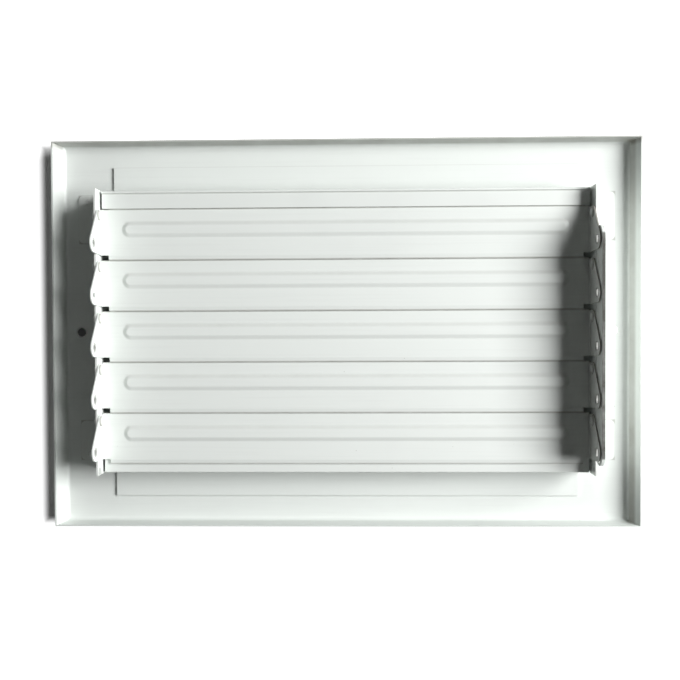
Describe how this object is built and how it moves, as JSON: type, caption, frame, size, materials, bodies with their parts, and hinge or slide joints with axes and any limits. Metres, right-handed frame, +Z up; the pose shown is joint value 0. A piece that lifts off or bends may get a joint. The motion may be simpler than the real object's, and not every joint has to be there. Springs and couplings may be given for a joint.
{
  "type": "supply air register",
  "caption": "White painted steel air register: a louvred face plate with a turned rim, and behind it a shutter damper whose linked blades swing open into the duct when the face lever is moved.",
  "frame": {"origin": "centre of the box in plan, at the lowest point, which is the tip of the operating lever below the face", "axes": "+X along the shutters, +Y towards the edge where the shutters are hinged first, +Z up into the duct, the face being down as it hangs in a ceiling"},
  "size_m": [0.2984, 0.1968, 0.0404],
  "materials": {
    "face_paint": "semi-gloss white powder coat",
    "damper_paint": "semi-gloss white paint",
    "shutter_paint": "semi-gloss white paint",
    "link_paint": "satin white paint",
    "lever_paint": "semi-gloss white paint",
    "rivet_steel": "bare zinc-plated rivet"
  },
  "bodies": {
    "register_frame": {"face_plate": "face_paint", "left_bracket": "damper_paint", "right_bracket": "damper_paint", "top_rail": "damper_paint", "bottom_rail": "damper_paint", "left_pivot_rivets": "damper_paint", "right_pivot_rivets": "damper_paint"},
    "shutter_3_and_lever": {"shutter_3": "shutter_paint", "lever": "lever_paint"},
    "shutter_1_body": {"shutter_1": "shutter_paint"},
    "shutter_2_body": {"shutter_2": "shutter_paint"},
    "shutter_4_body": {"shutter_4": "shutter_paint"},
    "shutter_5_body": {"shutter_5": "shutter_paint"},
    "link": {"link_bar": "link_paint", "link_rivets": "rivet_steel"}
  },
  "joints": [
    {"name": "shutter_3_hinge", "type": "hinge", "parent": "register_frame", "child": "shutter_3_and_lever", "pos_m": [0, 0.00805, 0.0258], "axis": [-1, 0, 0], "range_deg": [0, 78]},
    {"name": "shutter_1_hinge", "type": "hinge", "parent": "register_frame", "child": "shutter_1_body", "pos_m": [0, 0.05905, 0.0258], "axis": [-1, 0, 0], "range_deg": [0, 78]},
    {"name": "shutter_2_hinge", "type": "hinge", "parent": "register_frame", "child": "shutter_2_body", "pos_m": [0, 0.03355, 0.0258], "axis": [-1, 0, 0], "range_deg": [0, 78]},
    {"name": "shutter_4_hinge", "type": "hinge", "parent": "register_frame", "child": "shutter_4_body", "pos_m": [0, -0.01745, 0.0258], "axis": [-1, 0, 0], "range_deg": [0, 78]},
    {"name": "shutter_5_hinge", "type": "hinge", "parent": "register_frame", "child": "shutter_5_body", "pos_m": [0, -0.04295, 0.0258], "axis": [-1, 0, 0], "range_deg": [0, 78]},
    {"name": "link_hinge", "type": "hinge", "parent": "shutter_3_and_lever", "child": "link", "pos_m": [0, -0.00607, 0.03479], "axis": [-1, 0, 0], "range_deg": [-78, 0]}
  ],
  "couplings": [
    {"joint": "shutter_1_hinge", "follows": "shutter_3_hinge", "ratio": 1},
    {"joint": "shutter_2_hinge", "follows": "shutter_3_hinge", "ratio": 1},
    {"joint": "shutter_4_hinge", "follows": "shutter_3_hinge", "ratio": 1},
    {"joint": "shutter_5_hinge", "follows": "shutter_3_hinge", "ratio": 1},
    {"joint": "link_hinge", "follows": "shutter_3_hinge", "ratio": -1}
  ]
}
